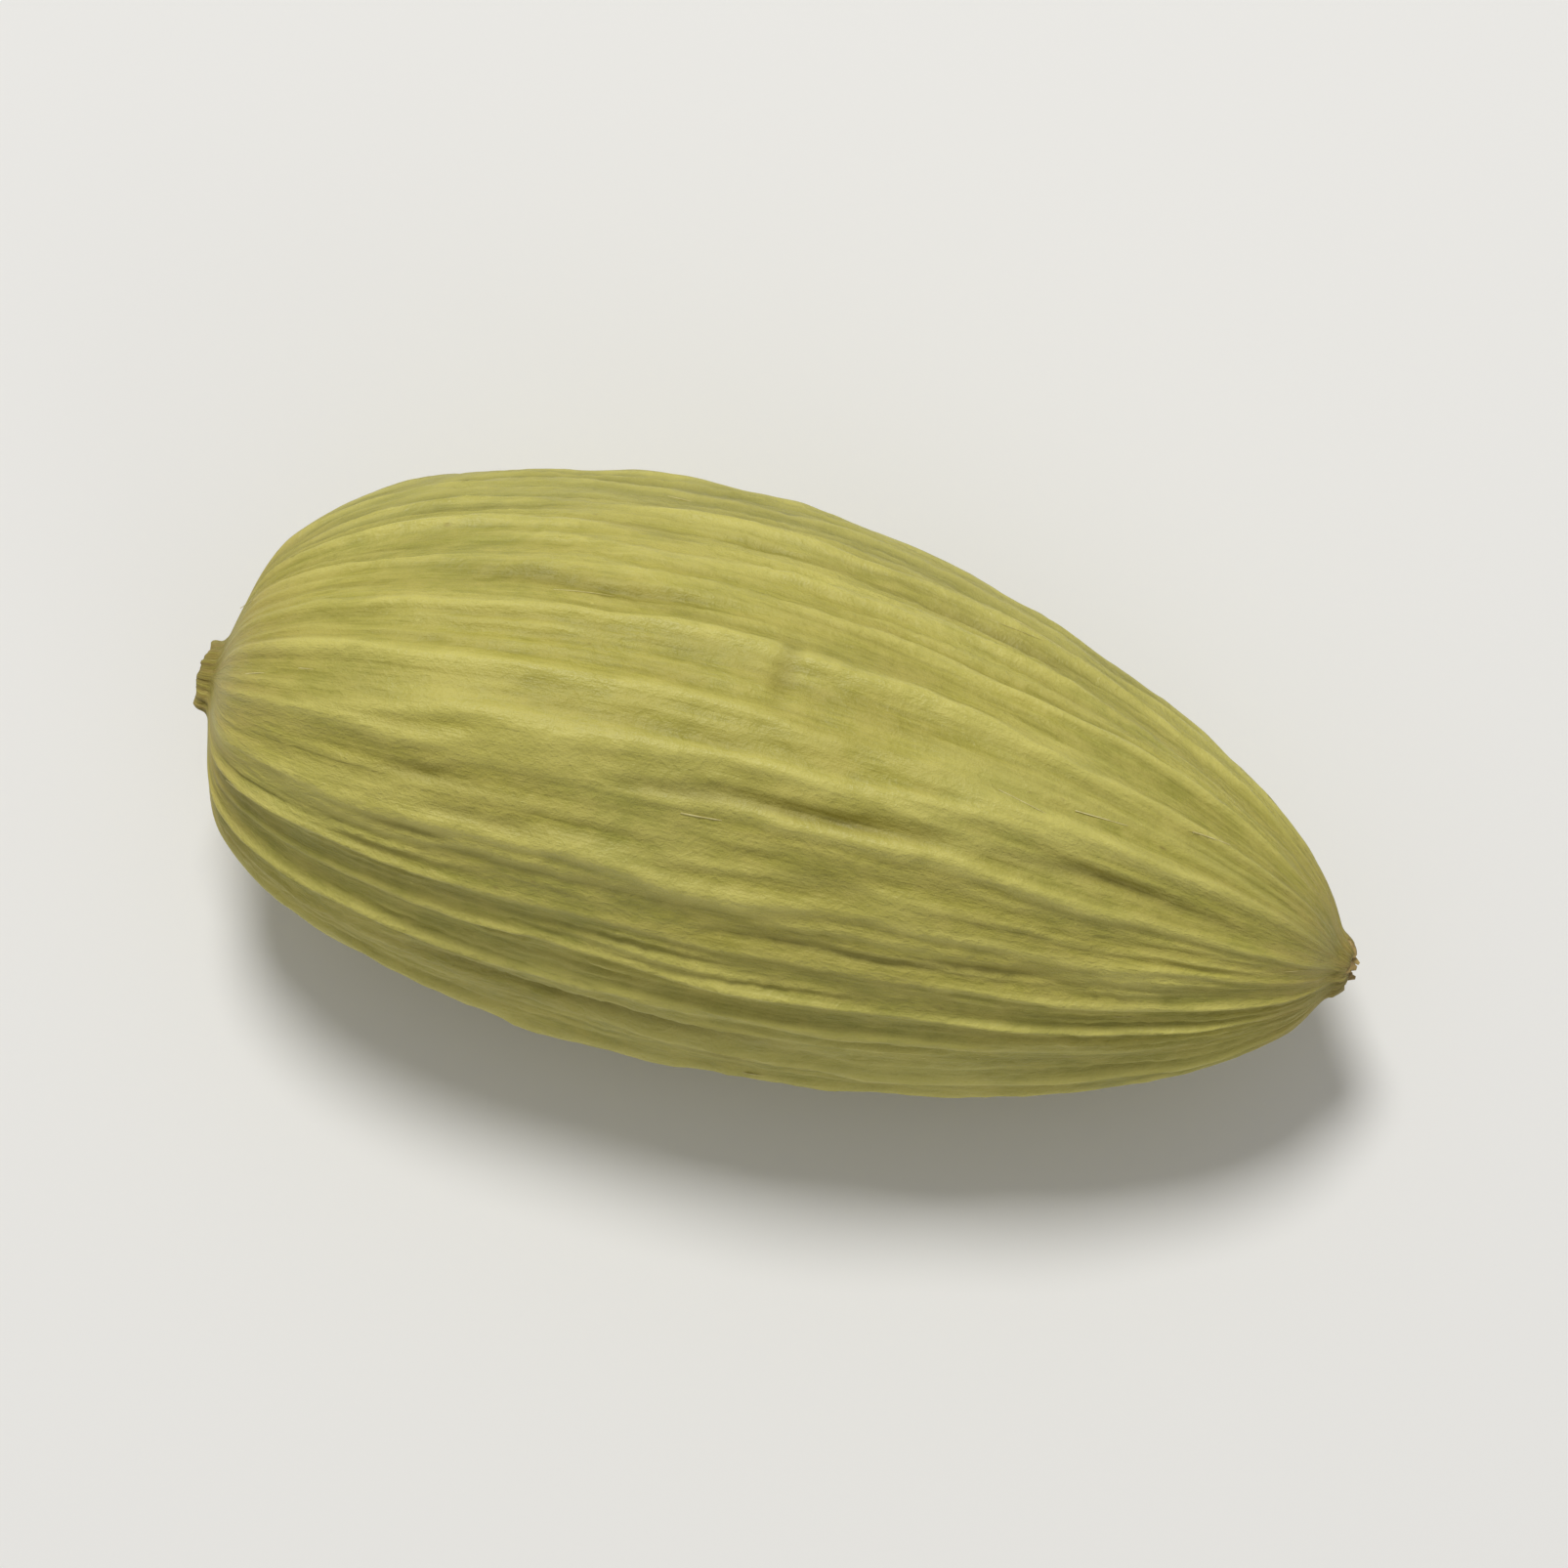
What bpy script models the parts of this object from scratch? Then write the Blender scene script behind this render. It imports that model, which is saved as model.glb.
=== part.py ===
"""Green cardamom pod, lying on one of its three faces.

One dried capsule, grown as one piece: a plump spindle of three rounded lobes with raised veins
running from end to end, a trimmed stalk at the blunt end (-X) and the short dried beak left by
the flower at the tapered end (+X). Metres, +Z up. The origin is on the surface that the pod lies
on, under the middle of its box.
"""

import math

import bmesh
import bpy

MM = 0.001

# Driving dimensions: the pod as it lies
POD_LENGTH = 15.3 * MM
POD_WIDTH = 7.5 * MM
POD_HEIGHT = 6.9 * MM
STALK_LENGTH = 0.10 * MM
STALK_RADIUS = 0.44 * MM
STALK_HOLLOW = 0.07 * MM
STALK_ROUNDING = 0.10 * MM
BEAK_LENGTH = 0.06 * MM
BEAK_RADIUS = 0.42 * MM
BEAK_HOLLOW = 0.06 * MM
BEAK_ROUNDING = 0.24 * MM
HALF_WAY_DEPTH = 0.7

# Outline: the girth grows as a power of the way from the blunt end, and falls as a power of the
# way to the tapered end, and a soft shoulder lets it flow into the two necks
BLUNTNESS = 0.41
TAPER = 0.60
SHOULDER = 0.20 * MM
SHOULDER_FLOW = 1.5
NECK_FLOW = 2.2

# Section: three lobes, one of them uppermost with its keel turning a little from end to end,
# and nearly flat faces between them
LOBES = 3
LOBE_DEPTH = 0.072
KEEL_HEIGHT = 0.034
KEEL_SHARPNESS = 12
KEEL_AT_STALK = math.radians(9.0)
KEEL_AT_BEAK = math.radians(-4.0)
BOW = 0.46 * MM

# Raised veins: they sink into the surface where the husk is slimmer than a share of its greatest.
# A vein takes a few columns of points, and the rings of points crowd together near both ends
VEINS = 24
VEIN_HEIGHT = 0.15 * MM
VEIN_SHARPNESS = 1.8
VEIN_USUAL = 0.72
FULL_VEIN_GIRTH = 0.50
VEIN_COLUMNS = 4
ROWS = 42
ROUNDING_STEPS = (0.0, 0.1, 0.4, 1.0)

# Unevenness, as waves: how many go round the pod, their size, their phase at the stalk, and how
# far the phase drifts on the way to the beak
VEIN_SPACING = ((3, 0.035, 1.1, 0.0), (5, 0.025, 2.3, 1.6), (7, 0.010, 0.0, -4.0), (11, 0.006, 0.0, 7.0))
VEIN_STRENGTH = ((9, 0.28, 0.0, 5.0),)
GIRTH = ((1, 0.012, 0.8, 7.0), (2, 0.010, 2.4, 9.0), (5, 0.005, 0.4, -12.0))
STALK_OUTLINE = ((2, 0.12, 2.2, 0.0), (5, 0.05, 1.6, 0.0))
BEAK_OUTLINE = ((2, 0.10, 0.9, 0.0), (3, 0.10, 2.6, 0.0))

# The flat spot that it rests on
FLAT_DEPTH = 0.17 * MM
NOSE_DOWN = math.radians(2.4)

HUSK_LENGTH = POD_LENGTH - STALK_LENGTH - BEAK_LENGTH
GREATEST_RADIUS = POD_WIDTH / 2
COLUMNS = VEINS * VEIN_COLUMNS


def clear_scene():
    """Remove every object that the file starts with."""
    for old in list(bpy.data.objects):
        bpy.data.objects.remove(old, do_unlink=True)


def waves(table, turn, share):
    """Sum of a table of waves at an angle round the pod and a share of the way along it."""
    return sum(size * math.sin(count * turn + phase + drift * share) for count, size, phase, drift in table)


def along_husk(x):
    """Share of the husk's own length at a distance from the stalk's end, from 0 to 1."""
    return min(1.0, max(0.0, (x - STALK_LENGTH) / HUSK_LENGTH))


def husk_radius(share):
    """Radius of the husk without its necks."""
    widest = BLUNTNESS / (BLUNTNESS + TAPER)
    peak = widest**BLUNTNESS * (1.0 - widest) ** TAPER
    from_end = min(share, 1.0 - share) * HUSK_LENGTH
    grown = 1.0 - math.exp(-((from_end / SHOULDER) ** SHOULDER_FLOW))
    return GREATEST_RADIUS * grown * share**BLUNTNESS * (1.0 - share) ** TAPER / peak


def neck_radius(share, angle):
    """Radius of the stalk or the beak, whichever is near: neither is quite round."""
    if share < 0.5:
        return STALK_RADIUS * (1.0 + waves(STALK_OUTLINE, angle, share))
    return BEAK_RADIUS * (1.0 + waves(BEAK_OUTLINE, angle, share))


def rounded_off(x):
    """How far the rounding of the nearer end draws the surface in."""
    rounding, from_end = (STALK_ROUNDING, x) if x < POD_LENGTH / 2 else (BEAK_ROUNDING, POD_LENGTH - x)
    near = max(0.0, 1.0 - from_end / rounding)
    return rounding * (1.0 - math.sqrt(1.0 - near**2))


def vein_relief(turn, share):
    """How far a vein stands out, from 0 in the furrow to VEIN_HEIGHT on a strong crest."""
    crest = (0.5 + 0.5 * math.cos(VEINS * turn)) ** VEIN_SHARPNESS
    return VEIN_HEIGHT * crest * (VEIN_USUAL + waves(VEIN_STRENGTH, turn, share))


def lobe_share(angle, share):
    """What the lobes add to the radius, as a share of it."""
    keel = math.pi / 2 + KEEL_AT_STALK + (KEEL_AT_BEAK - KEEL_AT_STALK) * share
    wave = math.cos(LOBES * (angle - keel))
    return LOBE_DEPTH * wave + KEEL_HEIGHT * (0.5 + 0.5 * wave) ** KEEL_SHARPNESS


def surface_point(x, column):
    """A point of the outside surface, with the pod's long axis along X."""
    turn = 2 * math.pi * column / COLUMNS
    share = along_husk(x)
    angle = turn + waves(VEIN_SPACING, turn, share)
    husk = husk_radius(share)
    neck = neck_radius(share, angle)
    radius = (husk**NECK_FLOW + neck**NECK_FLOW) ** (1.0 / NECK_FLOW)
    of_husk = (husk / radius) ** 2
    radius *= 1.0 + (lobe_share(angle, share) + waves(GIRTH, angle, share)) * of_husk
    radius -= rounded_off(x)
    radius += vein_relief(turn, share) * of_husk * min(1.0, husk / (GREATEST_RADIUS * FULL_VEIN_GIRTH))
    bow = BOW * math.sin(math.pi * share)
    return x, radius * math.cos(angle) + bow, radius * math.sin(angle)


def ring_places():
    """Distances from the stalk's end to each ring of points, closer together near both ends."""
    stalk = [STALK_ROUNDING * share for share in ROUNDING_STEPS]
    beak = [POD_LENGTH - BEAK_ROUNDING * share for share in reversed(ROUNDING_STEPS)]
    between = beak[0] - stalk[-1]
    husk = [stalk[-1] + between * math.sin(math.pi / 2 * row / ROWS) ** 2 for row in range(1, ROWS)]
    return stalk + husk + beak


def close_end(shape, ring, hollow):
    """Close an end with a ring half way in and a point in the middle, sunk by hollow along X."""
    middle = sum((v.co for v in ring), start=ring[0].co * 0) / len(ring)
    inner = []
    for v in ring:
        place = v.co.lerp(middle, 0.5)
        place.x += hollow * HALF_WAY_DEPTH
        inner.append(shape.verts.new(place))
    centre = shape.verts.new((middle.x + hollow, middle.y, middle.z))
    for c, v in enumerate(ring):
        beside = (c + 1) % len(ring)
        shape.faces.new((v, inner[c], inner[beside], ring[beside]))
        shape.faces.new((inner[c], centre, inner[beside]))


def build_pod():
    """The whole pod as one closed mesh: rings joined by quads, and the two ends closed."""
    shape = bmesh.new()
    rings = []
    for x in ring_places():
        rings.append([shape.verts.new(surface_point(x, c)) for c in range(COLUMNS)])
    for here, there in zip(rings, rings[1:]):
        for c in range(COLUMNS):
            beside = (c + 1) % COLUMNS
            shape.faces.new((here[c], here[beside], there[beside], there[c]))
    close_end(shape, rings[0], STALK_HOLLOW)
    close_end(shape, rings[-1], -BEAK_HOLLOW)
    bmesh.ops.recalc_face_normals(shape, faces=shape.faces)
    mesh = bpy.data.meshes.new("cardamom_pod")
    shape.to_mesh(mesh)
    shape.free()
    return mesh


def extent(mesh, axis):
    """Lowest and highest coordinate of a mesh along an axis."""
    places = [v.co[axis] for v in mesh.vertices]
    return min(places), max(places)


def lay_down(mesh):
    """Tip the beak down, fit the driving dimensions, and press the underside flat at Z = 0."""
    for v in mesh.vertices:
        v.co.z -= v.co.x * math.tan(NOSE_DOWN)
    for axis, size in enumerate((POD_LENGTH, POD_WIDTH, POD_HEIGHT + FLAT_DEPTH)):
        low, high = extent(mesh, axis)
        for v in mesh.vertices:
            v.co[axis] = ((v.co[axis] - low) / (high - low) - 0.5) * size
    for v in mesh.vertices:
        v.co.z = max(0.0, v.co.z + (POD_HEIGHT - FLAT_DEPTH) / 2)


def husk_material():
    """Dry papery husk, olive green."""
    material = bpy.data.materials.new("green_husk")
    material.use_nodes = True
    shader = material.node_tree.nodes["Principled BSDF"]
    shader.inputs["Base Color"].default_value = (0.40, 0.37, 0.10, 1.0)
    shader.inputs["Roughness"].default_value = 0.62
    shader.inputs["Metallic"].default_value = 0.0
    return material


def main():
    """Build the pod."""
    clear_scene()
    mesh = build_pod()
    lay_down(mesh)
    mesh.materials.append(husk_material())
    mesh.shade_smooth()
    pod = bpy.data.objects.new("cardamom_pod", mesh)
    bpy.context.scene.collection.objects.link(pod)


main()
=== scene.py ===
"""Green cardamom pod: a dried, three-sided capsule with raised veins, lying on one of its faces."""

import logging
import math
from dataclasses import dataclass
from enum import Enum

import bmesh
import bpy
from mathutils import Matrix, Vector


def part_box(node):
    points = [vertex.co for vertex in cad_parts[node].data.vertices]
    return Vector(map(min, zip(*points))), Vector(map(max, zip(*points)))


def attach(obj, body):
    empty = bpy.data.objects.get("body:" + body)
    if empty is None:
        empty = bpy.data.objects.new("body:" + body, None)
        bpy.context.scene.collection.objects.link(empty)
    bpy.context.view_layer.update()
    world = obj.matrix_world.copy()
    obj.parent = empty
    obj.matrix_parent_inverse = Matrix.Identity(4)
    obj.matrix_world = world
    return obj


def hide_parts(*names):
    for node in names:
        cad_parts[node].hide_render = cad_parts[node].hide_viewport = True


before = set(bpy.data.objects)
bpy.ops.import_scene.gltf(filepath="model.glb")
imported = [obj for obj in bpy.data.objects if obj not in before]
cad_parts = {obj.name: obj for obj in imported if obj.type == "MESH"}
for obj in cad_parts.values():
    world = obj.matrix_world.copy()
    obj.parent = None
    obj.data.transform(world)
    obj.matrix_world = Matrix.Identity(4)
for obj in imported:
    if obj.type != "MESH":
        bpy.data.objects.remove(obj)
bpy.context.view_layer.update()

LOG = logging.getLogger("cardamom")
MM = 0.001
NODE = "cardamom_pod"
BODY = "root"

Colour = tuple[float, float, float, float]
Place = tuple[float, float, float]

# Sockets of a Mix node that mixes colours
MIX_SHARE = 0
MIX_UNDER = 6
MIX_OVER = 7
MIX_RESULT = 2


class Mark(Enum):
    """Values that the husk's mesh carries for its finish and its fibres."""

    FLOW = "flow"
    CREST = "crest"
    THIN_CREST = "thin_crest"
    SUNK = "sunk"
    TURNED = "turned"
    WITHIN = "within"


def paint(red: int, green: int, blue: int) -> Colour:
    """Turn a display colour of 0 to 255 into the linear colour that shaders take.

    Args:
        red, green, blue: the colour as a screen shows it.

    Returns:
        Linear red, green, blue and an alpha of 1.
    """
    linear = []
    for part in (red, green, blue):
        share = part / 255
        linear.append(share / 12.92 if share <= 0.04045 else ((share + 0.055) / 1.055) ** 2.4)
    return (*linear, 1.0)


def feed(tree: bpy.types.NodeTree, target: bpy.types.NodeSocket, value: object) -> None:
    """Link a term or a socket to a node's input, or set the input to a plain value.

    Args:
        tree: the tree that holds the node.
        target: the input.
        value: a term, a socket or a plain value.
    """
    source = value.socket if isinstance(value, Term) else value
    if isinstance(source, bpy.types.NodeSocket):
        tree.links.new(source, target)
    else:
        target.default_value = source


@dataclass(frozen=True)
class Term:
    """A socket of a node tree, written in formulas as if it were a number."""

    tree: bpy.types.NodeTree
    socket: bpy.types.NodeSocket

    def math(self, operation: str, *others: "Term | float", first: float | None = None) -> "Term":
        """Add a Math node.

        Args:
            operation: the node's operation.
            others: its further operands.
            first: a plain number that comes before this term.

        Returns:
            The node's result.
        """
        node = self.tree.nodes.new("ShaderNodeMath")
        node.operation = operation
        operands = (self, *others) if first is None else (first, self, *others)
        for target, value in zip(node.inputs, operands):
            feed(self.tree, target, value)
        return Term(self.tree, node.outputs[0])

    def __add__(self, other: "Term | float") -> "Term":
        """Sum."""
        return self.math("ADD", other)

    def __sub__(self, other: "Term | float") -> "Term":
        """Difference."""
        return self.math("SUBTRACT", other)

    def __rsub__(self, other: float) -> "Term":
        """Difference from a plain number."""
        return self.math("SUBTRACT", first=other)

    def __mul__(self, other: "Term | float") -> "Term":
        """Product."""
        return self.math("MULTIPLY", other)

    def __truediv__(self, other: "Term | float") -> "Term":
        """Quotient."""
        return self.math("DIVIDE", other)

    def __pow__(self, other: "Term | float") -> "Term":
        """Power."""
        return self.math("POWER", other)

    __radd__ = __add__
    __rmul__ = __mul__

    def sin(self) -> "Term":
        """Sine of an angle in radians."""
        return self.math("SINE")

    def cos(self) -> "Term":
        """Cosine of an angle in radians."""
        return self.math("COSINE")

    def hump(self) -> "Term":
        """Cosine of an angle, raised to run from 0 to 1."""
        return self.cos() * 0.5 + 0.5

    def bell(self) -> "Term":
        """Bell curve: 1 where the term is 0, falling away on both sides."""
        return (self * self * -1.0).math("EXPONENT")

    def size(self) -> "Term":
        """Value without its sign."""
        return self.math("ABSOLUTE")

    def least(self, other: "Term | float") -> "Term":
        """The lesser of two values."""
        return self.math("MINIMUM", other)

    def most(self, other: "Term | float") -> "Term":
        """The greater of two values."""
        return self.math("MAXIMUM", other)

    def unit(self) -> "Term":
        """Value kept between 0 and 1."""
        return self.least(1.0).most(0.0)

    def lines(self, sharpness: float) -> "Term":
        """Narrow lines, from 0 to 1, where noise is at its middle value."""
        return (1.0 - (self * 2.0 - 1.0).size() * sharpness).unit()

    def above(self, least: float) -> "Term":
        """Squeeze a value of 0 to 1 into the range from least to 1."""
        return self * (1.0 - least) + least

    def step(self, low: float, high: float) -> "Term":
        """Smooth rise from 0 to 1.

        Args:
            low: where it leaves 0.
            high: where it reaches 1.

        Returns:
            The risen value.
        """
        node = self.tree.nodes.new("ShaderNodeMapRange")
        node.interpolation_type = "SMOOTHSTEP"
        feed(self.tree, node.inputs["Value"], self)
        node.inputs["From Min"].default_value = low
        node.inputs["From Max"].default_value = high
        return Term(self.tree, node.outputs["Result"])

    def blend(self, start: "Term | float", end: "Term | float") -> "Term":
        """Value between two others, by this term as the share.

        Args:
            start: the value at 0.
            end: the value at 1.

        Returns:
            The value between them.
        """
        node = self.tree.nodes.new("ShaderNodeMix")
        feed(self.tree, node.inputs["Factor"], self)
        feed(self.tree, node.inputs["A"], start)
        feed(self.tree, node.inputs["B"], end)
        return Term(self.tree, node.outputs["Result"])


class Tree:
    """A node tree under construction."""

    def __init__(self, tree: bpy.types.NodeTree) -> None:
        """Take a tree to write in.

        Args:
            tree: the tree.
        """
        self.tree = tree

    def add(self, kind: str, options: dict[str, object] | None = None, **inputs: object) -> bpy.types.Node:
        """Add a node.

        Args:
            kind: the node's type.
            options: its settings by name.
            inputs: its inputs by name, with underscores for spaces, each a term, a socket or a value.

        Returns:
            The node.
        """
        node = self.tree.nodes.new(kind)
        for name, value in (options or {}).items():
            setattr(node, name, value)
        for title, value in inputs.items():
            feed(self.tree, node.inputs[title.replace("_", " ")], value)
        return node

    def term(self, node: bpy.types.Node, output: str | int = 0) -> Term:
        """One output of a node, as a term."""
        return Term(self.tree, node.outputs[output])

    def join(self, *parts: Term | float) -> Term:
        """A vector made of three values.

        Args:
            parts: its X, Y and Z.

        Returns:
            The vector.
        """
        node = self.add("ShaderNodeCombineXYZ")
        for target, value in zip(node.inputs, parts):
            feed(self.tree, target, value)
        return self.term(node)

    def split(self, vector: Term) -> list[Term]:
        """The X, Y and Z of a vector."""
        node = self.add("ShaderNodeSeparateXYZ", Vector=vector)
        return [Term(self.tree, output) for output in node.outputs]

    def vectors(self, operation: str, first: Term, second: Term) -> Term:
        """Combine two vectors.

        Args:
            operation: the Vector Math node's operation.
            first, second: the vectors.

        Returns:
            The combined vector.
        """
        node = self.add("ShaderNodeVectorMath", {"operation": operation})
        feed(self.tree, node.inputs[0], first)
        feed(self.tree, node.inputs[1], second)
        return self.term(node)


class Form(Tree):
    """A Geometry Nodes tree under construction, which makes one piece."""

    def __init__(self, name: str, inputs: dict[str, str]) -> None:
        """Start the tree.

        Args:
            name: the piece's name.
            inputs: the tree's inputs by name, each with its kind: Float, Int or Vector.
        """
        super().__init__(bpy.data.node_groups.new(name, "GeometryNodeTree"))
        self.name = name
        self.tree.interface.new_socket("Geometry", in_out="OUTPUT", socket_type="NodeSocketGeometry")
        for title, kind in inputs.items():
            self.tree.interface.new_socket(title, in_out="INPUT", socket_type="NodeSocket" + kind)
        self.inputs = self.add("NodeGroupInput")

    def given(self, title: str) -> Term:
        """One of the tree's own inputs."""
        return self.term(self.inputs, title)

    def here(self) -> Term:
        """The place of each point."""
        return self.term(self.add("GeometryNodeInputPosition"))

    def draw(self, kind: str, low: float | Place, high: float | Place, seed: int) -> Term:
        """A number or vector drawn for each point.

        Args:
            kind: FLOAT or FLOAT_VECTOR.
            low, high: the range.
            seed: the draw's own seed.

        Returns:
            The drawn value.
        """
        node = self.add("FunctionNodeRandomValue", {"data_type": kind}, Seed=seed)
        ends = [socket for socket in node.inputs if socket.enabled and socket.name in ("Min", "Max")]
        for target, value in zip(ends, (low, high)):
            target.default_value = value
        return Term(self.tree, next(output for output in node.outputs if output.enabled))

    def smooth(self, shape: bpy.types.NodeSocket) -> bpy.types.NodeSocket:
        """Shade a shape smooth."""
        return self.add("GeometryNodeSetShadeSmooth", Geometry=shape).outputs["Geometry"]

    def grow(
        self, shape: bpy.types.NodeSocket, material: bpy.types.Material, sizes: dict[str, object]
    ) -> bpy.types.Object:
        """End the tree with real geometry and its material, run it, and keep the result as a plain mesh.

        Args:
            shape: the finished shape in the tree.
            material: the finish that it gets.
            sizes: the tree's inputs by name.

        Returns:
            An object at the origin that holds the result.
        """
        real = self.add("GeometryNodeRealizeInstances", Geometry=shape)
        dressed = self.add("GeometryNodeSetMaterial", Geometry=real.outputs[0], Material=material)
        self.add("NodeGroupOutput", Geometry=dressed.outputs[0])
        bearer = bpy.data.objects.new(self.name + "_form", bpy.data.meshes.new(self.name + "_form"))
        bpy.context.scene.collection.objects.link(bearer)
        modifier = bearer.modifiers.new("form", "NODES")
        modifier.node_group = self.tree
        for item in self.tree.interface.items_tree:
            if item.item_type == "SOCKET" and item.in_out == "INPUT" and item.name in sizes:
                modifier[item.identifier] = sizes[item.name]
        bpy.context.view_layer.update()
        shown = bearer.evaluated_get(bpy.context.evaluated_depsgraph_get())
        mesh = bpy.data.meshes.new_from_object(shown)
        bpy.data.objects.remove(bearer, do_unlink=True)
        mesh.name = self.name
        result = bpy.data.objects.new(self.name, mesh)
        bpy.context.scene.collection.objects.link(result)
        return result


@dataclass(frozen=True)
class Wave:
    """One wave round the pod: how many, how strong, its phase, and the phase's drift to the beak."""

    count: int
    strength: float
    phase: float
    drift: float = 0.0


VEIN_SPACING = (
    Wave(3, 0.035, 1.1),
    Wave(5, 0.025, 2.3, 1.6),
    Wave(7, 0.010, 0.0, -4.0),
    Wave(11, 0.006, 0.0, 7.0),
)
VEIN_STRENGTH = (Wave(9, 0.28, 0.0, 5.0),)
GIRTH = (Wave(1, 0.012, 0.8, 7.0), Wave(2, 0.010, 2.4, 9.0), Wave(5, 0.005, 0.4, -12.0))
STALK_OUTLINE = (Wave(2, 0.12, 2.2), Wave(5, 0.05, 1.6))
BEAK_OUTLINE = (Wave(2, 0.10, 0.9), Wave(3, 0.10, 2.6))


def ripple(table: tuple[Wave, ...], turn: Term, share: Term) -> Term:
    """Sum of a table of waves.

    Args:
        table: the waves.
        turn: angle round the pod.
        share: share of the way from stalk to beak.

    Returns:
        The sum at each point.
    """
    total = turn * 0.0
    for wave in table:
        total = total + (turn * wave.count + share * wave.drift + wave.phase).sin() * wave.strength
    return total


@dataclass(frozen=True)
class Pattern:
    """Noise on the husk: how fine it is round the pod and along it, its octaves and its own seed.

    As patches, it rises from 0 at low to 1 at high.
    """

    around: float
    along: float
    octaves: float
    seed: float
    low: float = 0.0
    high: float = 1.0


# Veins: how they wander, where they fade, and where the thin and the slanting ones show
VEIN_WANDER = Pattern(1.6, 7.0, 2.0, 11.0)
VEIN_FADING = Pattern(3.4, 4.5, 2.0, 17.0, 0.28, 0.54)
THIN_VEIN_PATCHES = Pattern(5.0, 6.0, 1.0, 19.0, 0.42, 0.60)
SIDE_VEINS = Pattern(8.0, 1.6, 1.0, 23.0)
SIDE_VEIN_PATCHES = Pattern(2.0, 5.0, 1.0, 29.0, 0.40, 0.58)

# Skin: dents, wrinkles across the hollows, slanting ones, and fine lines along the pod
DENTS = Pattern(1.3, 4.2, 2.0, 43.0)
WRINKLE_PATCHES = Pattern(2.2, 4.0, 1.0, 41.0, 0.36, 0.60)
CROSS_WRINKLES = Pattern(7.0, 46.0, 1.0, 37.0)
SLANTING_WRINKLES = Pattern(13.0, 24.0, 1.0, 67.0)
FINE_LINES = Pattern(32.0, 3.6, 3.0, 31.0)

# Ridges, creases and the puckered necks
FACE_WAVER = Pattern(0.6, 5.0, 1.0, 47.0)
RIDGE_WEAR = Pattern(0.5, 9.0, 1.0, 53.0, 0.34, 0.54)
CREASE_WEAR = Pattern(4.0, 16.0, 2.0, 71.0, 0.25, 0.60)
NECK_GRAIN = Pattern(4.0, 40.0, 3.0, 59.0)


@dataclass(frozen=True)
class Crease:
    """A sunken line along the husk, placed from the uppermost keel, with a raised lip on its upper side."""

    offset: float
    middle: float
    reach: float
    width: float
    depth: float
    slant: float = 0.0
    lip: float = 0.45


@dataclass(frozen=True)
class Ridge:
    """A sharper line along the husk where two of its faces meet."""

    offset: float
    start: float
    end: float
    width: float
    height: float


# Creases: the angle from the keel, the crease's middle as a share of the way to the beak, its reach
# on both sides of that, half its width as an angle, its depth, how it slants, and its lip
CREASES = (
    Crease(math.radians(10.5), 0.51, 0.16, 0.026, 0.15 * MM, -0.10),
    Crease(math.radians(11.0), 0.79, 0.13, 0.028, 0.12 * MM, 0.12),
    Crease(math.radians(17.0), 0.22, 0.05, 0.026, 0.09 * MM, 0.20),
    Crease(math.radians(24.0), 0.27, 0.06, 0.026, 0.09 * MM, 0.10),
    Crease(math.radians(31.0), 0.21, 0.05, 0.028, 0.07 * MM, 0.10),
    Crease(math.radians(24.0), 0.56, 0.05, 0.040, 0.06 * MM, -0.15),
    Crease(math.radians(42.0), 0.62, 0.16, 0.030, 0.08 * MM, -0.10),
    Crease(math.radians(-30.0), 0.30, 0.13, 0.030, 0.08 * MM, 0.10),
    Crease(math.radians(-17.0), 0.485, 0.012, 0.120, 0.10 * MM, 0.0, 0.0),
    Crease(math.radians(-55.0), 0.66, 0.13, 0.034, 0.10 * MM, -0.10),
    Crease(math.radians(80.0), 0.40, 0.20, 0.034, 0.12 * MM, 0.10),
    Crease(math.radians(118.0), 0.60, 0.16, 0.040, 0.14 * MM, -0.10),
    Crease(math.radians(-95.0), 0.36, 0.18, 0.036, 0.13 * MM, 0.12),
    Crease(math.radians(-130.0), 0.58, 0.15, 0.036, 0.11 * MM, -0.08),
)

# Ridges: the angle from the keel, where they start and end, half their width as an angle, their height
RIDGES = (
    Ridge(math.radians(3.5), 0.06, 0.92, 0.040, 0.12 * MM),
    Ridge(math.radians(-44.0), 0.14, 0.82, 0.032, 0.09 * MM),
)


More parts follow.
